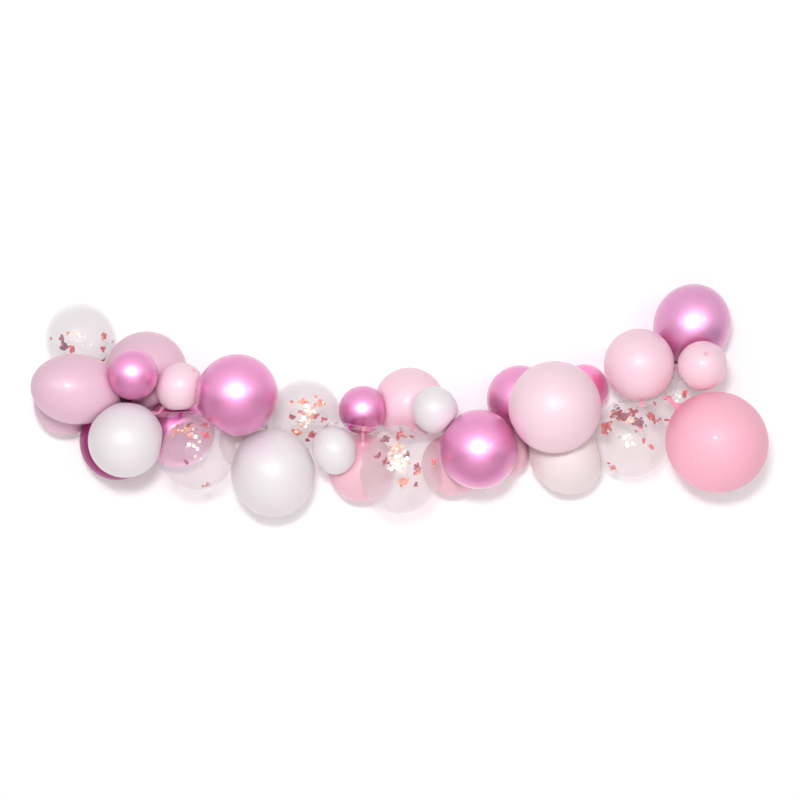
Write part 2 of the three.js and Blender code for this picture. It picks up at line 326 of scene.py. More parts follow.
# %% Planes of the wall and the tape
WALL_GAP = 0.5 * MM
NECK_GAP = 0.8 * MM
STRIP_RADIUS = 7 * MM


def keep_clear(balloon, start, end, radius):
    """Keeps a balloon off a round rod between two points."""
    rod = end - start
    share = np.clip((balloon.centre - start) @ rod / (rod @ rod), 0, 1)
    nearest = start + share * rod
    n = unit(nearest - balloon.centre)
    if np.linalg.norm(nearest - balloon.centre) < balloon.reach + NEAR:
        balloon.planes.append((n, n @ nearest - radius - NECK_GAP))


for balloon in balloons:
    balloon.planes.append((TO_WALL, -WALL_GAP))
    for (start, _), (end, _) in zip(strip_path, strip_path[1:]):
        keep_clear(balloon, start, end, STRIP_RADIUS)
print("planes on the first balloon:", len(balloons[0].planes))

# %% [markdown]
# A real flat has no sharp rim: the skin bends into it over a centimetre or so. A soft minimum
# does that. Where the round skin and the plane are close to each other, the smaller of the two
# is eased a little further in.

# %% Pressing points
SOFT = 9 * MM
# A plane that is nearly edge-on to the way out sets no limit along it
EDGE_ON = 0.05


def soft_minimum(a, b):
    """The smaller of a and b, eased a little further down where they are close."""
    ease = np.maximum(SOFT - np.abs(a - b), 0) ** 2 / (4 * SOFT)
    return np.minimum(a, b) - ease


def pressed(balloon, points):
    """Pulls points of a skin towards the balloon's middle until they are behind every plane."""
    arms = points - balloon.centre
    length = np.linalg.norm(arms, axis=1)
    ways = arms / length[:, None]
    result = length.copy()
    for n, d in balloon.planes:
        rise = ways @ n
        toward = rise > EDGE_ON
        room = d - n @ balloon.centre
        limit = np.where(toward, room / np.where(toward, rise, 1), np.inf)
        close = limit < result + SOFT
        result[close] = soft_minimum(result[close], limit[close])
    return balloon.centre + ways * result[:, None]


wall_side = balloons[0].centre + TO_WALL * balloons[0].half
pushed = np.linalg.norm(pressed(balloons[0], wall_side[None, :])[0] - wall_side)
print("the wall presses the first balloon in by", round(pushed / MM, 1), "mm")

# %% [markdown]
# ## The neck, the knot and the lip
#
# Behind the round body the rubber is hardly stretched. It narrows to a neck, squeezes through
# the hole, swells into the knot and ends in the rolled lip that the balloon was blown through.
# The neck is a row of circles along a bent path, each with its own radius.

# %% Neck sizes
NECK_RADIUS = 3.6 * MM
TAIL_RADIUS = 5.5 * MM
THROAT_RADIUS = 2.0 * MM
KNOT_RADIUS = 5.5 * MM
LIP_RADIUS = 6.5 * MM
FACE = 1.0 * MM
KNOT_LENGTH = 7 * MM
LIP_LENGTH = 9 * MM
# A short neck straightens over this share of its way from the hole to the tail
APPROACH_SHARE = 0.45

# The knot and lip as (share of the way from the strip to the lip's end, radius)
LIP_END = KNOT_LENGTH + LIP_LENGTH
KNOT_PROFILE = [
    (0.02, 1.9), (0.05, 3.6), (0.10, 4.9), (0.17, 5.5), (0.25, 5.3), (0.33, 4.2), (0.40, 2.5),
    (0.47, 2.1), (0.56, 2.5), (0.68, 3.3), (0.80, 4.3), (0.90, 5.0), (0.94, 5.9), (0.97, 6.5),
    (1.00, 6.3), (1.01, 5.7), (0.99, 5.1), (0.90, 4.2), (0.75, 2.9), (0.60, 1.6), (0.56, 0.6),
]
print("knot and lip together:", round(LIP_END / MM), "mm long")

# %% Neck path
def neck_points(balloon):
    """The tail, the approach and the strip's two faces, as points of the path."""
    apex = balloon.centre - balloon.crown * balloon.reach
    tail = pressed(balloon, apex[None, :])[0]
    gap = np.linalg.norm(tail - balloon.hole)
    approach = balloon.hole + balloon.outward * min(APPROACH, gap * APPROACH_SHARE)
    face = balloon.hole + balloon.outward * FACE
    back = balloon.hole - balloon.outward * FACE
    return tail, approach, face, back


def rods_of(balloon):
    """The neck, the knot and the lip as rods that other balloons stay clear of."""
    tail, approach, face, back = neck_points(balloon)
    knot = back - balloon.outward * KNOT_LENGTH
    lip = knot - balloon.outward * LIP_LENGTH
    return [(tail, approach, TAIL_RADIUS), (approach, face, NECK_RADIUS),
            (back, knot, KNOT_RADIUS), (knot, lip, LIP_RADIUS)]


for balloon in balloons:
    balloon.rods = rods_of(balloon)
for balloon in balloons:
    for other in balloons:
        if other is not balloon:
            for start, end, radius in other.rods:
                keep_clear(balloon, start, end, radius)
print("planes on the first balloon, with necks:", len(balloons[0].planes))

# %% [markdown]
# ## Skins
#
# A balloon's skin is one closed mesh of circles from the crown to the inside of the lip, so it
# could be turned on a lathe and then pressed. Here the circles are laid directly: over the
# spheroid, down a curve that draws the tail in like a pear, then along the neck.

# %% Circles of a balloon
SIDES = 56
BODY_RINGS = 38
TAIL_RINGS = 8
TAIL_WIDTH = 20 * MM
# The tail's curve bends round a corner: shares of half the length and of the tail's radius
CORNER_REACH = 1.01
CORNER_WIDTH = 1.2


def circle(middle, along, radius, u):
    """The points of a circle round a path, and the side direction carried on to the next one."""
    u = unit(u - (u @ along) * along)
    v = np.cross(along, u)
    turn = np.arange(SIDES) * 2 * math.pi / SIDES
    return middle + radius * (np.outer(np.cos(turn), u) + np.outer(np.sin(turn), v)), u


def body_profile(balloon):
    """(distance along the crown direction, radius) from the crown to the tail."""
    last = math.pi - math.asin(TAIL_WIDTH / balloon.half)
    angles = last * np.arange(1, BODY_RINGS + 1) / BODY_RINGS
    profile = [(balloon.half_long * math.cos(a), balloon.half * math.sin(a)) for a in angles]
    # From there the skin runs on inward and bends sharply outward into the neck
    leave = np.array(profile[-1])
    corner = np.array((-balloon.half_long * CORNER_REACH, TAIL_RADIUS * CORNER_WIDTH))
    arrive = np.array((-balloon.reach, TAIL_RADIUS))
    for t in np.arange(1, TAIL_RINGS + 1) / TAIL_RINGS:
        profile.append(tuple((1 - t) ** 2 * leave + 2 * t * (1 - t) * corner + t * t * arrive))
    return profile


print("circles on a body and its tail:", len(body_profile(balloons[0])))

# %% Circles of a neck
BEND_RINGS = 8
# How much of the neck's span each end of its bend keeps straight
BEND_REACH = 0.4
# The neck tapers over its last stretch before the hole
TAPER_LENGTH = 2 * MM
TAPER_RADIUS = 2.6 * MM


def neck_path(balloon):
    """(point, direction, radius) along the bent neck, then through the knot and the lip."""
    tail, approach, face, back = neck_points(balloon)
    span = np.linalg.norm(approach - tail)
    leave = tail - balloon.crown * span * BEND_REACH
    arrive = approach + balloon.outward * span * BEND_REACH
    rows = []
    for t in np.arange(1, BEND_RINGS + 1) / BEND_RINGS:
        a, b, c, d = (1 - t) ** 3, 3 * t * (1 - t) ** 2, 3 * t * t * (1 - t), t ** 3
        point = a * tail + b * leave + c * arrive + d * approach
        radius = TAIL_RADIUS + (NECK_RADIUS - TAIL_RADIUS) * t
        rows.append((point, radius))
    rows.append((face + balloon.outward * TAPER_LENGTH, TAPER_RADIUS))
    rows.append((face, THROAT_RADIUS))
    rows.append((back, THROAT_RADIUS))
    for share, radius in KNOT_PROFILE:
        rows.append((back - balloon.outward * share * LIP_END, radius * MM))
    return rows


print("circles on a neck, a knot and a lip:", len(neck_path(balloons[0])))

# %% Build one skin
# The rubber gathers over this share of the way from the middle to the tail
GATHER_SHARE = 0.16
SMALL_STEP = 0.2 * MM


def skin_of(balloon):
    """Points, faces and the gather of the rubber: 0 where it is stretched thin, 1 at the neck."""
    down = -balloon.crown
    u, _ = sideways(down)
    tip = balloon.centre + balloon.crown * balloon.half_long
    loops = []
    gather = []
    for height, radius in body_profile(balloon):
        middle = balloon.centre + balloon.crown * height
        points, u = circle(middle, down, radius, u)
        loops.append(pressed(balloon, points))
        from_tail = (height + balloon.reach) / (GATHER_SHARE * balloon.reach)
        gather.append(math.exp(-from_tail ** 2))
    before = loops[-1].mean(axis=0)
    along = down
    for point, radius in neck_path(balloon):
        step = point - before
        if step @ -balloon.outward > 0 and np.linalg.norm(step) > SMALL_STEP:
            along = unit(along + 2 * unit(step))
        points, u = circle(point, along, radius, u)
        loops.append(points)
        gather.append(1.0)
        before = point
    end = loops[-1].mean(axis=0)
    points = np.vstack([pressed(balloon, tip[None, :])] + loops + [end[None, :]])
    gather = np.concatenate([[0.0], np.repeat(gather, SIDES), [1.0]])
    return points, ring_faces(len(loops)), gather


def ring_faces(count):
    """Faces between neighbouring circles, with a fan at the crown and one inside the lip."""
    k = np.arange(SIDES)
    after = (k + 1) % SIDES
    faces = [(0, 1 + int(b), 1 + int(a)) for a, b in zip(k, after)]
    for ring in range(count - 1):
        first = 1 + ring * SIDES
        faces += [(first + int(a), first + int(b), first + SIDES + int(b), first + SIDES + int(a))
                  for a, b in zip(k, after)]
    last = 1 + (count - 1) * SIDES
    end = 1 + count * SIDES
    faces += [(last + int(a), last + int(b), end) for a, b in zip(k, after)]
    return faces


print("faces of a skin with three circles:", len(ring_faces(3)))

# %% Try it on the first balloon
def signed_volume(points, faces):
    """The volume inside a closed mesh. It is above zero where the faces point outward."""
    total = 0.0
    for face in faces:
        a = points[face[0]]
        for b, c in zip(face[1:], face[2:]):
            total += a @ np.cross(points[b], points[c]) / 6
    return total


points, faces, _ = skin_of(balloons[0])
print("points on the first skin:", len(points))
print("volume of the first balloon:", round(signed_volume(points, faces) * 1000, 3), "litres")

# %% Mesh objects
def mesh_object(name, points, faces, marks):
    """A smooth mesh object that rides on the garland. marks are named numbers on its points."""
    mesh = bpy.data.meshes.new(name)
    mesh.from_pydata([tuple(p) for p in points], [], faces)
    for mark, values in marks.items():
        mesh.attributes.new(mark, "FLOAT", "POINT").data.foreach_set("value", values)
    mesh.shade_smooth()
    mesh.update()
    made = bpy.data.objects.new(name, mesh)
    bpy.context.scene.collection.objects.link(made)
    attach(made, "root")
    return made


print("finishes:", ", ".join(sorted({balloon.finish for balloon in balloons})))

# %% A skin for every balloon
# The photograph shows a darker crown mark on two balloons: number and pixel
CROWN_MARKS = {8: (194, 370), 29: (706, 354)}
MARK_RADIUS = 6 * MM

skins = {}
for balloon in balloons:
    points, faces, gather = skin_of(balloon)
    if balloon.number in CROWN_MARKS:
        tree = BVHTree.FromPolygons([tuple(p) for p in points], faces)
        hit = tree.ray_cast(camera.location, sight_line(*CROWN_MARKS[balloon.number]))[0]
        far = np.linalg.norm(points - np.array(hit), axis=1)
        gather = np.maximum(gather, np.exp(-(far / MARK_RADIUS) ** 2))
    name = f"latex_balloon_{balloon.number:02d}"
    skins[balloon.number] = mesh_object(name, points, faces, {"gather": gather})
    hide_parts(balloon.node)
print("skins:", len(skins), " triangles in one:", 2 * len(faces) - 2 * SIDES)

# %% [markdown]
# ## Foil confetti
#
# The clear balloons hold punched foil discs, about a centimetre across. Static holds them on
# the inside of the rubber, in loose clumps. Particles could scatter them, but they would be lost
# when the model is exported, so each disc is a few real faces, in one mesh for each balloon.
# A clump is placed by a pixel of the photograph, on the near or the far wall of its balloon.

# %% Clumps of confetti
# balloon, pixel across, pixel down, wall, clump radius in mm, discs, shade: 0 wine to 1 near white
# Clumps of shade 1 are painted glints, set where the balloons show highlights
CLUMPS = [
    (1, 61, 339, "near", 8, 9, 0.15),
    (1, 64, 346, "near", 10, 18, 0.03),
    (1, 72, 349, "near", 9, 11, 0.55),
    (1, 78, 332, "near", 9, 6, 0.95),
    (1, 68, 334, "near", 5, 3, 0.85),
    (1, 104, 336, "near", 9, 8, 0.5),
    (1, 104, 350, "near", 8, 9, 0.5),
    (1, 103, 362, "near", 8, 9, 0.4),
    (1, 50, 338, "near", 3, 1, 0.25),
    (1, 113, 342, "near", 3, 1, 0.6),
    (10, 174, 431, "near", 22, 26, 0.85),
    (10, 188, 428, "near", 18, 20, 0.8),
    (10, 189, 425, "near", 8, 8, 0.15),
    (10, 205, 424, "near", 9, 12, 0.4),
    (10, 206, 435, "near", 9, 12, 0.35),
    (10, 186, 462, "near", 5, 4, 0.3),
    # Painted highlight: near-white discs on the balloon's row of bright spots
    (10, 197, 450, "near", 30, 8, 1.0),
    (10, 205, 486, "far", 16, 7, 0.8),
    (10, 178, 413, "near", 2, 1, 0.1),
    (13, 291, 402, "near", 4, 4, 0.75),
    (13, 304, 402, "near", 10, 12, 0.75),
    (13, 321, 402, "near", 10, 13, 0.75),
    (13, 316, 396, "near", 3, 2, 0.8),
    (13, 308, 412, "near", 18, 30, 0.92),
    # Painted highlight: near-white discs inside the ring of flakes round the highlight
    (13, 304, 422, "near", 14, 20, 1.0),
    (13, 292, 417, "near", 7, 10, 0.3),
    (13, 299, 411, "near", 4, 2, 0.3),
    (13, 316, 416, "near", 6, 5, 0.35),
    (13, 324, 421, "near", 7, 7, 0.45),
    (13, 296, 432, "near", 14, 20, 0.7),
    (13, 313, 434, "near", 8, 10, 0.4),
    (13, 308, 441, "near", 6, 7, 0.33),
    (13, 337, 424, "near", 4, 2, 0.6),
    (19, 384, 438, "near", 16, 24, 0.22),
    (19, 400, 435, "near", 14, 18, 0.5),
    (19, 412, 436, "near", 8, 8, 0.3),
    (19, 378, 455, "near", 7, 11, 0.3),
    (19, 386, 461, "near", 9, 10, 0.3),
    (19, 396, 448, "near", 16, 26, 0.9),
    (19, 407, 454, "near", 6, 6, 0.08),
    # Painted highlight: near-white discs over the balloon's highlight
    (19, 398, 462, "near", 26, 44, 1.0),
    (19, 417, 466, "near", 8, 8, 0.25),
    (19, 404, 483, "near", 15, 24, 0.8),
    (19, 416, 485, "near", 4, 4, 0.25),
    (19, 418, 472, "near", 10, 8, 0.7),
    (19, 435, 462, "near", 12, 16, 0.8),
    (30, 614, 406, "near", 24, 36, 0.3),
    (30, 622, 416, "near", 14, 26, 0.14),
    (30, 640, 423, "near", 15, 34, 0.16),
    (30, 632, 412, "near", 16, 18, 0.3),
    (30, 606, 427, "near", 16, 34, 0.6),
    # Painted glint: near-white discs on a bright glint
    (30, 630, 420, "near", 9, 10, 1.0),
    (30, 653, 416, "near", 18, 24, 0.55),
    (30, 652, 448, "near", 9, 9, 0.75),
    (30, 644, 441, "near", 4, 3, 0.5),
    (30, 613, 469, "near", 13, 15, 0.6),
    # Painted sparkles: near-white discs on small bright spots
    (30, 626, 443, "near", 26, 9, 1.0),
    (31, 668, 397, "near", 4, 4, 0.42),
    (31, 685, 394, "near", 8, 12, 0.4),
    (31, 654, 404, "near", 3, 2, 0.42),
    (31, 666, 420, "near", 6, 4, 0.5),
]
print("clumps:", len(CLUMPS))

# %% One foil disc
DISC_RADIUS = 4.8 * MM
DISC_THICKNESS = 0.15 * MM
DISC_SIDES = 10
LEAN = 0.25


def disc(centre, normal, shade, rng):
    """A foil disc with two faces and a rim, leaning a little off the wall."""
    lean = Vector(rng.normal(0, LEAN, 3))
    up = (normal + lean).normalized()
    u = up.orthogonal().normalized()
    v = up.cross(u)
    points = []
    for level in (-0.5, 0.5):
        for k in range(DISC_SIDES):
            turn = 2 * math.pi * k / DISC_SIDES
            side = u * math.cos(turn) + v * math.sin(turn)
            points.append(centre + side * DISC_RADIUS + up * level * DISC_THICKNESS)
    low = list(range(DISC_SIDES))
    high = [k + DISC_SIDES for k in low]
    faces = [tuple(reversed(low)), tuple(high)]
    for a in low:
        b = (a + 1) % DISC_SIDES
        faces.append((a, b, high[b], high[a]))
    return points, faces, [shade] * len(points)


print("a disc is", round(2 * DISC_RADIUS / MM, 1), "mm across, with", DISC_SIDES, "sides")

# %% Scatter the discs
INSIDE = 0.8 * MM
SHADE_SPREAD = 0.09


def wall_hit(tree, origin, way, wall):
    """Where a straight line meets the near or the far wall of a skin."""
    hit = tree.ray_cast(origin, way)[0]
    if hit is None or wall == "near":
        return hit
    return tree.ray_cast(hit + way * MM, way)[0]


def on_inner_wall(tree, balloon, point, clump_mm, rng):
    """A random place of a clump on the inner side of the skin, and the way out through it."""
    middle = Vector(balloon.centre)
    near = point + Vector(rng.normal(0, clump_mm / 2, 3)) * MM
    way = (near - middle).normalized()
    hit = tree.ray_cast(middle, way)[0]
    return hit - way * (INSIDE + DISC_RADIUS * LEAN), way


def confetti_of(balloon, rng):
    """Points, faces and shades of all the discs in one clear balloon."""
    mesh = skins[balloon.number].data
    faces = [tuple(p.vertices) for p in mesh.polygons]
    tree = BVHTree.FromPolygons([v.co.copy() for v in mesh.vertices], faces)
    clumps = []
    for number, px, py, wall, radius, count, shade in CLUMPS:
        if number == balloon.number:
            point = wall_hit(tree, camera.location, sight_line(px, py), wall)
            if point is not None:
                clumps.append((point, radius, count, shade))
    points, faces, shades = [], [], []
    for point, radius, count, shade in clumps:
        for _ in range(count):
            centre, way = on_inner_wall(tree, balloon, point, radius, rng)
            tint = float(np.clip(rng.normal(shade, SHADE_SPREAD), 0, 1))
            p, f, s = disc(centre, way, tint, rng)
            faces += [tuple(k + len(points) for k in face) for face in f]
            points += p
            shades += s
    return points, faces, shades


confetti = {}
for balloon in balloons:
    if balloon.finish == "clear":
        rng = np.random.default_rng(100 + balloon.number)
        points, faces, shades = confetti_of(balloon, rng)
        name = f"foil_confetti_{balloon.number:02d}"
        made = mesh_object(name, points, faces, {"shade": shades})
        made.data.shade_flat()
        confetti[balloon.number] = made
        print(name, "discs:", len(points) // (2 * DISC_SIDES))

# %% [markdown]
# ## Materials
#
# Every finish here is rubber or plastic film, so all of them use one shader with different
# plain values. Two small helpers keep the node trees short: one turns a colour picked on
# a screen into the linear colour that the shader needs, and one adds a node with its settings.

# %% Helpers for materials
def srgb(code, alpha=1.0):
    """A linear colour from an sRGB hex code such as 'F0ECEE'."""
    channels = [int(code[i:i + 2], 16) / 255 for i in (0, 2, 4)]
    linear = [c / 12.92 if c <= 0.04045 else ((c + 0.055) / 1.055) ** 2.4 for c in channels]
    return (*linear, alpha)


def add(tree, kind, inputs=None, **settings):
    """Adds a node. inputs holds values, or other nodes' sockets to link."""
    made = tree.nodes.new(kind)
    for name, value in settings.items():
        setattr(made, name, value)
    for name, value in (inputs or {}).items():
        if isinstance(value, bpy.types.NodeSocket):
            tree.links.new(value, made.inputs[name])
        else:
            made.inputs[name].default_value = value
    return made


def new_material(name):
    """A material with an empty tree but for its output."""
    material = bpy.data.materials.new(name)
    material.use_nodes = True
    tree = material.node_tree
    tree.nodes.clear()
    output = add(tree, "ShaderNodeOutputMaterial")
    return material, tree, output


def per_metre(size_mm):
    """The noise scale that gives features of a real size."""
    return 1000 / size_mm


print("F0ECEE in linear light:", [round(c, 3) for c in srgb("F0ECEE")[:3]])

# %% [markdown]
# ### Pearl latex
#
# Party balloons are dipped natural rubber, coloured right through. Blown up, the skin is smooth
# and softly glossy. It is paler where it is stretched thin, and deeper in colour at the neck and
# in the small thick spot at the crown. The gather of the rubber, stored on the points when the
# skin was made, drives that change. Faint clouds come from the uneven dip.

# %% Pearl latex
LATEX_IOR = 1.52
CLOUD_MM = 45
GRAIN_MM = 2.5


def pearl_latex(name, stretched, thick, roughness=0.4, coat=0.22):
    """Dipped latex with pearl pigment: soft broad highlights under a thin wet-looking gloss."""
    material, tree, output = new_material(name)
    gather = add(tree, "ShaderNodeAttribute", attribute_name="gather")
    place = add(tree, "ShaderNodeTexCoord")
    cloud = add(tree, "ShaderNodeTexNoise", {
        "Vector": place.outputs["Object"], "Scale": per_metre(CLOUD_MM), "Detail": 3.0})
    # The clouds only move the colour by a few hundredths towards the thick rubber's colour
    amount = add(tree, "ShaderNodeMath", {
        0: cloud.outputs["Fac"], 1: 0.14, 2: gather.outputs["Fac"]}, operation="MULTIPLY_ADD")
    ramp = add(tree, "ShaderNodeValToRGB", {"Fac": amount.outputs[0]})
    ramp.color_ramp.elements[0].color = srgb(stretched)
    ramp.color_ramp.elements[1].color = srgb(thick)
    # Grain of the dried rubber, drawn coarser than real so that it shows in the render
    grain = add(tree, "ShaderNodeTexNoise", {
        "Vector": place.outputs["Object"], "Scale": per_metre(GRAIN_MM), "Detail": 2.0})
    bump = add(tree, "ShaderNodeBump", {
        "Strength": 0.05, "Distance": 0.0003, "Height": grain.outputs["Fac"]})
    gloss = add(tree, "ShaderNodeMapRange", {
        "Value": cloud.outputs["Fac"], "To Min": roughness - 0.04, "To Max": roughness + 0.04})
    shader = add(tree, "ShaderNodeBsdfPrincipled", {
        "Base Color": ramp.outputs["Color"], "Roughness": gloss.outputs[0],
        "IOR": LATEX_IOR, "Normal": bump.outputs["Normal"],
        "Sheen Weight": 0.25, "Sheen Roughness": 0.4, "Sheen Tint": srgb(thick),
        "Specular IOR Level": 0.4, "Coat Weight": coat, "Coat Roughness": 0.08})
    tree.links.new(shader.outputs["BSDF"], output.inputs["Surface"])
    return material


white_latex = pearl_latex("dipped_latex_pearl_white", "E8E4E6", "DED2D6")
cream_latex = pearl_latex("dipped_latex_pearl_cream", "EDE3E1", "E2D0C8")
lilac_latex = pearl_latex("dipped_latex_lilac_pink", "E7C2D2", "DA9CBA")
blush_latex = pearl_latex("dipped_latex_blush_pink", "F8D5E1", "EDACC2")
pale_blush_latex = pearl_latex("dipped_latex_pale_blush", "F3D9E2", "F0A0BA")
salmon_latex = pearl_latex("dipped_latex_salmon_pink", "F2C4D0", "ECA6B8")
rose_latex = pearl_latex("dipped_latex_rose_pink", "FDBBCD", "F99AB0", 0.5, 0.08)
dipped = [m.name for m in bpy.data.materials if m.name.startswith("dipped_latex")]
print("pearl latex finishes:", len(dipped))

# %% [markdown]
# ### Chrome latex
#
# Chrome balloons are latex filled with fine metal flakes that line up as the skin stretches.
# They mirror the room in a blurred, tinted way, and the smooth rubber over the flakes adds
# a white gloss of its own. So the shader is a tinted rough metal under a clear coat.

# %% Chrome latex
FLAKE_MM = 3


def chrome_latex(name, tint, deep, roughness=0.42, coat=0.85):
    """Metal flakes in rubber: a broad white bloom in the middle and deep tints at the turn."""
    material, tree, output = new_material(name)
    gather = add(tree, "ShaderNodeAttribute", attribute_name="gather")
    place = add(tree, "ShaderNodeTexCoord")
    cloud = add(tree, "ShaderNodeTexNoise", {
        "Vector": place.outputs["Object"], "Scale": per_metre(CLOUD_MM), "Detail": 2.0})
    amount = add(tree, "ShaderNodeMath", {
        0: cloud.outputs["Fac"], 1: 0.2, 2: gather.outputs["Fac"]}, operation="MULTIPLY_ADD")
    ramp = add(tree, "ShaderNodeValToRGB", {"Fac": amount.outputs[0]})
    ramp.color_ramp.elements[0].color = srgb(tint)
    ramp.color_ramp.elements[1].color = srgb(deep)
    # The flakes are far finer than this, which is as fine as the render can show
    flakes = add(tree, "ShaderNodeTexNoise", {
        "Vector": place.outputs["Object"], "Scale": per_metre(FLAKE_MM), "Detail": 4.0})
    gloss = add(tree, "ShaderNodeMapRange", {
        "Value": flakes.outputs["Fac"], "To Min": roughness - 0.05, "To Max": roughness + 0.05})
    bump = add(tree, "ShaderNodeBump", {
        "Strength": 0.04, "Distance": 0.0003, "Height": flakes.outputs["Fac"]})
    shader = add(tree, "ShaderNodeBsdfPrincipled", {
        "Base Color": ramp.outputs["Color"], "Metallic": 0.92, "Roughness": gloss.outputs[0],
        "Normal": bump.outputs["Normal"], "Coat Weight": coat, "Coat Roughness": 0.18})
    tree.links.new(shader.outputs["BSDF"], output.inputs["Surface"])
    return material


chrome_pink = chrome_latex("flake_latex_chrome_pink", "E698C6", "B03888")
chrome_magenta = chrome_latex("flake_latex_chrome_magenta", "9E1A70", "701050", coat=0.25)
chrome_mauve = chrome_latex("flake_latex_chrome_mauve", "DC9AC4", "A8408F")
chrome_hot = chrome_latex("flake_latex_chrome_hot_pink", "FF98CE", "C04488")
flaked = [m.name for m in bpy.data.materials if m.name.startswith("flake_latex")]
print("chrome finishes:", len(flaked))

# %% [markdown]
# ### Clear latex
#
# A clear balloon is natural latex with no pigment. It is a faintly milky film, so it is
# see-through by a plain alpha value, and what shows of it is mostly its gloss.

# %% Clear latex
def milky_film():
    """Clear rubber: a thin milky film under a wet-looking gloss."""
    material, tree, output = new_material("natural_latex_clear")
    gather = add(tree, "ShaderNodeAttribute", attribute_name="gather")
    place = add(tree, "ShaderNodeTexCoord")
    cloud = add(tree, "ShaderNodeTexNoise", {
        "Vector": place.outputs["Object"], "Scale": per_metre(CLOUD_MM), "Detail": 3.0})
    amount = add(tree, "ShaderNodeMath", {
        0: cloud.outputs["Fac"], 1: 0.3, 2: gather.outputs["Fac"]}, operation="MULTIPLY_ADD")
    ramp = add(tree, "ShaderNodeValToRGB", {"Fac": amount.outputs[0]})
    ramp.color_ramp.elements[0].color = srgb("EFEAEC")
    ramp.color_ramp.elements[1].color = srgb("DCD2CE")
    bump = add(tree, "ShaderNodeBump", {
        "Strength": 0.05, "Distance": 0.0003, "Height": cloud.outputs["Fac"]})
    shader = add(tree, "ShaderNodeBsdfPrincipled", {
        "Base Color": ramp.outputs["Color"], "Roughness": 0.09, "IOR": LATEX_IOR,
        "Normal": bump.outputs["Normal"], "Coat Weight": 1.0, "Coat Roughness": 0.04,
        "Alpha": 0.24})
    tree.links.new(shader.outputs["BSDF"], output.inputs["Surface"])
    return material


clear_latex = milky_film()
print("clear film:", clear_latex.name)

# %% [markdown]
# ### Foil
#
# The confetti is punched from metallised film in mixed shades, from wine red through copper
# red to a pale rose gold. The palest discs, near white, are painted glints. One material holds
# them all: each disc's shade was stored on its points, and a colour ramp turns that number into
# the colour of the foil.

# %% Foil
# Wine red to pale rose gold; the last stop, near white, is a painted glint
FOIL_SHADES_AND_GLINTS = [(0.0, "68082E"), (0.2, "AC4468"), (0.4, "E01C2C"), (0.6, "F06060"),
               (0.8, "FAA684"), (1.0, "FFF0DE")]
CRINKLE_MM = 4


def foil_film():
    """Crinkled metal film coloured by the shade of each disc; its palest colour is a painted
    glint.
    """
    material, tree, output = new_material("metallised_film_rose_gold")
    shade = add(tree, "ShaderNodeAttribute", attribute_name="shade")
    ramp = add(tree, "ShaderNodeValToRGB", {"Fac": shade.outputs["Fac"]})
    stops = ramp.color_ramp.elements
    stops[0].color = srgb(FOIL_SHADES_AND_GLINTS[0][1])
    stops[1].color = srgb(FOIL_SHADES_AND_GLINTS[-1][1])
    for position, code in FOIL_SHADES_AND_GLINTS[1:-1]:
        stops.new(position).color = srgb(code)
    place = add(tree, "ShaderNodeTexCoord")
    crinkle = add(tree, "ShaderNodeTexNoise", {
        "Vector": place.outputs["Object"], "Scale": per_metre(CRINKLE_MM)})
    bump = add(tree, "ShaderNodeBump", {
        "Strength": 0.3, "Distance": 0.0005, "Height": crinkle.outputs["Fac"]})
    shader = add(tree, "ShaderNodeBsdfPrincipled", {
        "Base Color": ramp.outputs["Color"], "Metallic": 0.6, "Roughness": 0.3,
        "Normal": bump.outputs["Normal"]})
    tree.links.new(shader.outputs["BSDF"], output.inputs["Surface"])
    return material


foil = foil_film()
print("foil shades:", len(FOIL_SHADES_AND_GLINTS))

# %% [markdown]
# ### The strip
#
# The decorating strip is punched from soft clear polyethylene film. It is see-through with
# a slightly hazy, satin face from the rollers it was drawn over.

# %% Strip
ROLLER_MM = 6


def punched_film():
    """Clear soft plastic with a faint satin haze."""
    material, tree, output = new_material("rolled_polyethylene_clear")
    place = add(tree, "ShaderNodeTexCoord")
    haze = add(tree, "ShaderNodeTexNoise", {
        "Vector": place.outputs["Object"], "Scale": per_metre(ROLLER_MM), "Detail": 2.0})
    gloss = add(tree, "ShaderNodeMapRange", {
        "Value": haze.outputs["Fac"], "To Min": 0.22, "To Max": 0.38})
    bump = add(tree, "ShaderNodeBump", {
        "Strength": 0.15, "Distance": 0.0004, "Height": haze.outputs["Fac"]})
    shader = add(tree, "ShaderNodeBsdfPrincipled", {
        "Base Color": srgb("F3F4F5"), "Roughness": gloss.outputs[0], "IOR": 1.51,
        "Normal": bump.outputs["Normal"], "Alpha": 0.08})
    tree.links.new(shader.outputs["BSDF"], output.inputs["Surface"])
    return material


strip_film = punched_film()
print("tape film:", strip_film.name)

# %% Give every piece its material
FINISHES = {
    "white": white_latex, "cream": cream_latex, "lilac": lilac_latex, "blush": blush_latex,
    "rose": rose_latex, "chrome": chrome_pink, "clear": clear_latex,
}
# Balloons of one colour differ a little from one to the next
OWN_SHADE = {
    6: chrome_magenta, 26: chrome_hot, 28: chrome_mauve,
    18: salmon_latex, 21: salmon_latex, 23: salmon_latex,
    24: pale_blush_latex, 8: pale_blush_latex,
}
for balloon in balloons:
    material = OWN_SHADE.get(balloon.number, FINISHES[balloon.finish])
    skins[balloon.number].data.materials.append(material)
for made in confetti.values():
    made.data.materials.append(foil)
strip_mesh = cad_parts["decorating_strip"].data
if strip_mesh.materials:
    for k in range(len(strip_mesh.materials)):
        strip_mesh.materials[k] = strip_film
else:
    strip_mesh.materials.append(strip_film)
print("materials:", len(bpy.data.materials))

# %% [markdown]
# ## Stage
#
# The garland hangs on a plain white wall above a pale floor. The wall is painted on one side
# only: from behind it is see-through, so that the back of the garland can be looked at.

# %% Wall and floor
STAGE_HALF = 9.0
FLOOR_LEVEL = -1.5
WALL_BEHIND = 1 * MM
# A little light of its own keeps the wall white
WALL_GLOW = 0.11


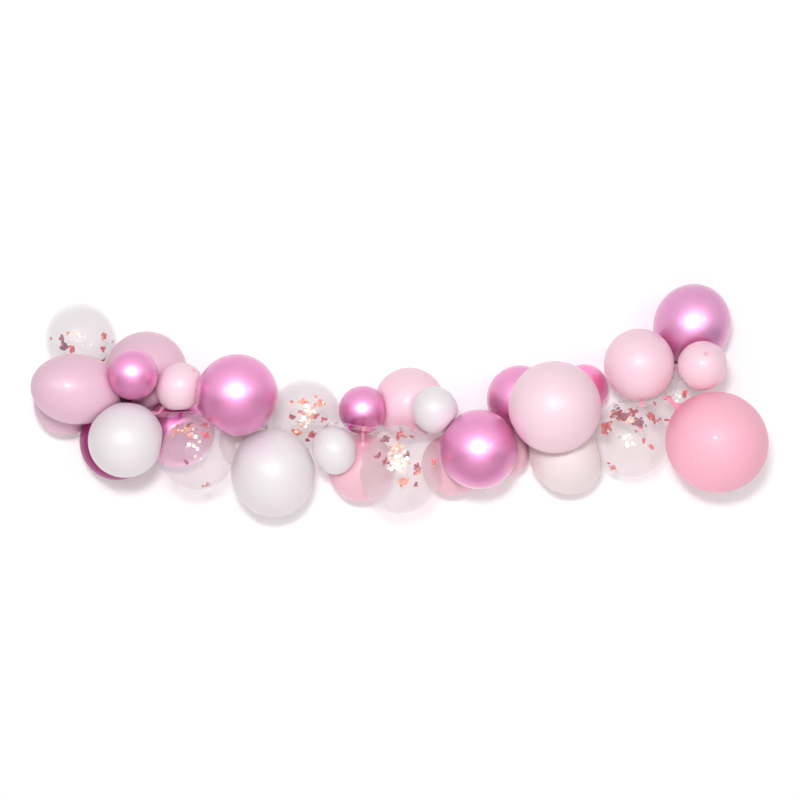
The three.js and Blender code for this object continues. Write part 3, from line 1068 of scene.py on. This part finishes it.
def sheet_of(name, corners):
    """A flat sheet of the stage, from its four corners."""
    mesh = bpy.data.meshes.new(name)
    mesh.from_pydata(corners, [], [(0, 1, 2, 3)])
    made = bpy.data.objects.new(name, mesh)
    bpy.context.scene.collection.objects.link(made)
    return made


def matt_paint(name, code, one_sided, glow=0.0):
    """Plain paint, see-through from behind where it is one_sided."""
    material, tree, output = new_material(name)
    paint = add(tree, "ShaderNodeBsdfDiffuse", {"Color": srgb(code)})
    lit = add(tree, "ShaderNodeEmission", {"Color": srgb(code), "Strength": glow})
    both = add(tree, "ShaderNodeAddShader", {0: paint.outputs["BSDF"], 1: lit.outputs[0]})
    result = both.outputs[0]
    if one_sided:
        side = add(tree, "ShaderNodeNewGeometry")
        clear = add(tree, "ShaderNodeBsdfTransparent")
        mix = add(tree, "ShaderNodeMixShader", {
            0: side.outputs["Backfacing"], 1: result, 2: clear.outputs["BSDF"]})
        result = mix.outputs[0]
    tree.links.new(result, output.inputs["Surface"])
    return material


stage_left = VIEW_MIDDLE.x - STAGE_HALF
stage_right = VIEW_MIDDLE.x + STAGE_HALF
wall = sheet_of("wall", [
    (stage_left, WALL_BEHIND, FLOOR_LEVEL), (stage_right, WALL_BEHIND, FLOOR_LEVEL),
    (stage_right, WALL_BEHIND, STAGE_HALF / 2), (stage_left, WALL_BEHIND, STAGE_HALF / 2)])
floor = sheet_of("floor", [
    (stage_left, -STAGE_HALF, FLOOR_LEVEL), (stage_right, -STAGE_HALF, FLOOR_LEVEL),
    (stage_right, STAGE_HALF, FLOOR_LEVEL), (stage_left, STAGE_HALF, FLOOR_LEVEL)])
wall.data.materials.append(matt_paint("matt_wall_paint", "FDFDFD", True, WALL_GLOW))
floor.data.materials.append(matt_paint("matt_floor_paint", "E9E1E4", False))
print("wall faces:", tuple(round(c, 1) for c in wall.data.polygons[0].normal))

# %% [markdown]
# ## Light
#
# Soft studio light: a key lamp a little above the camera, which gives the shadow under the
# garland, and a row of four small lamps to its left and right, whose reflections are the
# bright spots near the middle of each balloon.

# %% Lamps
def soft_lamp(name, place, aim, width, height, watts):
    """A flat lamp with soft edges to its shadows, turned towards a point."""
    lamp = bpy.data.lights.new(name, "AREA")
    lamp.shape = "RECTANGLE"
    lamp.size = width
    lamp.size_y = height
    lamp.energy = watts
    made = bpy.data.objects.new(name, lamp)
    made.location = place
    made.rotation_euler = (Vector(aim) - Vector(place)).to_track_quat("-Z", "Y").to_euler()
    bpy.context.scene.collection.objects.link(made)
    return made


TARGET = Vector((0.865, -0.15, -0.05))
LAMP_DISTANCE = 4.5
# Each lamp is (degrees to the right of the camera, degrees above it)
KEY_LAMP = (-2, 8.5)
KEY_WIDTH = 0.55
KEY_HEIGHT = 0.4
KEY_WATTS = 97
SPOT_LAMPS = ((-34, 12), (-11, 16), (13, 9), (37, 14))
SPOT_SIZE = 0.16
SPOT_WATTS = 8


def seen_from_target(right, above):
    """A place for a lamp, by its angles from the line of sight."""
    a, b = math.radians(right), math.radians(above)
    way = Vector((math.sin(a) * math.cos(b), -math.cos(a) * math.cos(b), math.sin(b)))
    return TARGET + way * LAMP_DISTANCE


soft_lamp("key_lamp", seen_from_target(*KEY_LAMP), TARGET, KEY_WIDTH, KEY_HEIGHT, KEY_WATTS)
for k, angles in enumerate(SPOT_LAMPS):
    place = seen_from_target(*angles)
    soft_lamp(f"spot_lamp_{k + 1}", place, TARGET, SPOT_SIZE, SPOT_SIZE, SPOT_WATTS)
print("lamps:", 1 + len(SPOT_LAMPS))

# %% [markdown]
# The rest of the light is the room's, which is darker low down. What glossy skins mirror of
# it is brighter than what lights them, and has one broad soft bloom behind the camera, as
# a studio with a large pale screen there would show.

# %% The room's light
# Strengths of the room's light, from low to high, and of the room as skins mirror it
FILL = (0.18, 0.41)
MIRRORED = (0.32, 1.06)
# The heights between which they change: the up part of a direction of length 1
LOWEST = -0.6
FILL_TOP = 0.7
MIRRORED_TOP = 0.2

world = bpy.data.worlds.new("studio")
bpy.context.scene.world = world
world.use_nodes = True
sky = world.node_tree
sky.nodes.clear()
direction = add(sky, "ShaderNodeTexCoord")
height = add(sky, "ShaderNodeSeparateXYZ", {0: direction.outputs["Generated"]})
fill = add(sky, "ShaderNodeMapRange", {
    "Value": height.outputs["Z"], "From Min": LOWEST, "From Max": FILL_TOP,
    "To Min": FILL[0], "To Max": FILL[1]})
mirrored = add(sky, "ShaderNodeMapRange", {
    "Value": height.outputs["Z"], "From Min": LOWEST, "From Max": MIRRORED_TOP,
    "To Min": MIRRORED[0], "To Max": MIRRORED[1]})
print("the room lights", FILL, "and is mirrored", MIRRORED)

# %% The bloom, and the room put together
BLOOM_WAY = Vector((0, -1, 0.1))
# The bloom's outer edge and its bright core, in degrees from its middle
BLOOM_EDGE = 42
BLOOM_CORE = 6
BLOOM_LIGHT = 2.4
BACKDROP = 0.8

facing = add(sky, "ShaderNodeVectorMath", {
    0: direction.outputs["Generated"], 1: tuple(BLOOM_WAY.normalized())},
    operation="DOT_PRODUCT")
bloom = add(sky, "ShaderNodeMapRange", {
    "Value": facing.outputs["Value"], "From Min": math.cos(math.radians(BLOOM_EDGE)),
    "From Max": math.cos(math.radians(BLOOM_CORE)), "To Min": 0.0, "To Max": BLOOM_LIGHT},
    interpolation_type="SMOOTHSTEP")
mirror = add(sky, "ShaderNodeMath", {0: mirrored.outputs[0], 1: bloom.outputs[0]})
path = add(sky, "ShaderNodeLightPath")
level = add(sky, "ShaderNodeMix", {
    "Factor": path.outputs["Is Glossy Ray"], "A": fill.outputs[0], "B": mirror.outputs[0]})
# Seen straight, past the edge of the wall, the studio is a plain pale backdrop
seen = add(sky, "ShaderNodeMix", {
    "Factor": path.outputs["Is Camera Ray"], "A": level.outputs[0], "B": BACKDROP})
background = add(sky, "ShaderNodeBackground", {
    "Color": srgb("FFFFFF"), "Strength": seen.outputs[0]})
sky_output = add(sky, "ShaderNodeOutputWorld")
sky.links.new(background.outputs[0], sky_output.inputs["Surface"])
bpy.context.scene.view_settings.view_transform = "Standard"
print("nodes in the world:", len(sky.nodes))
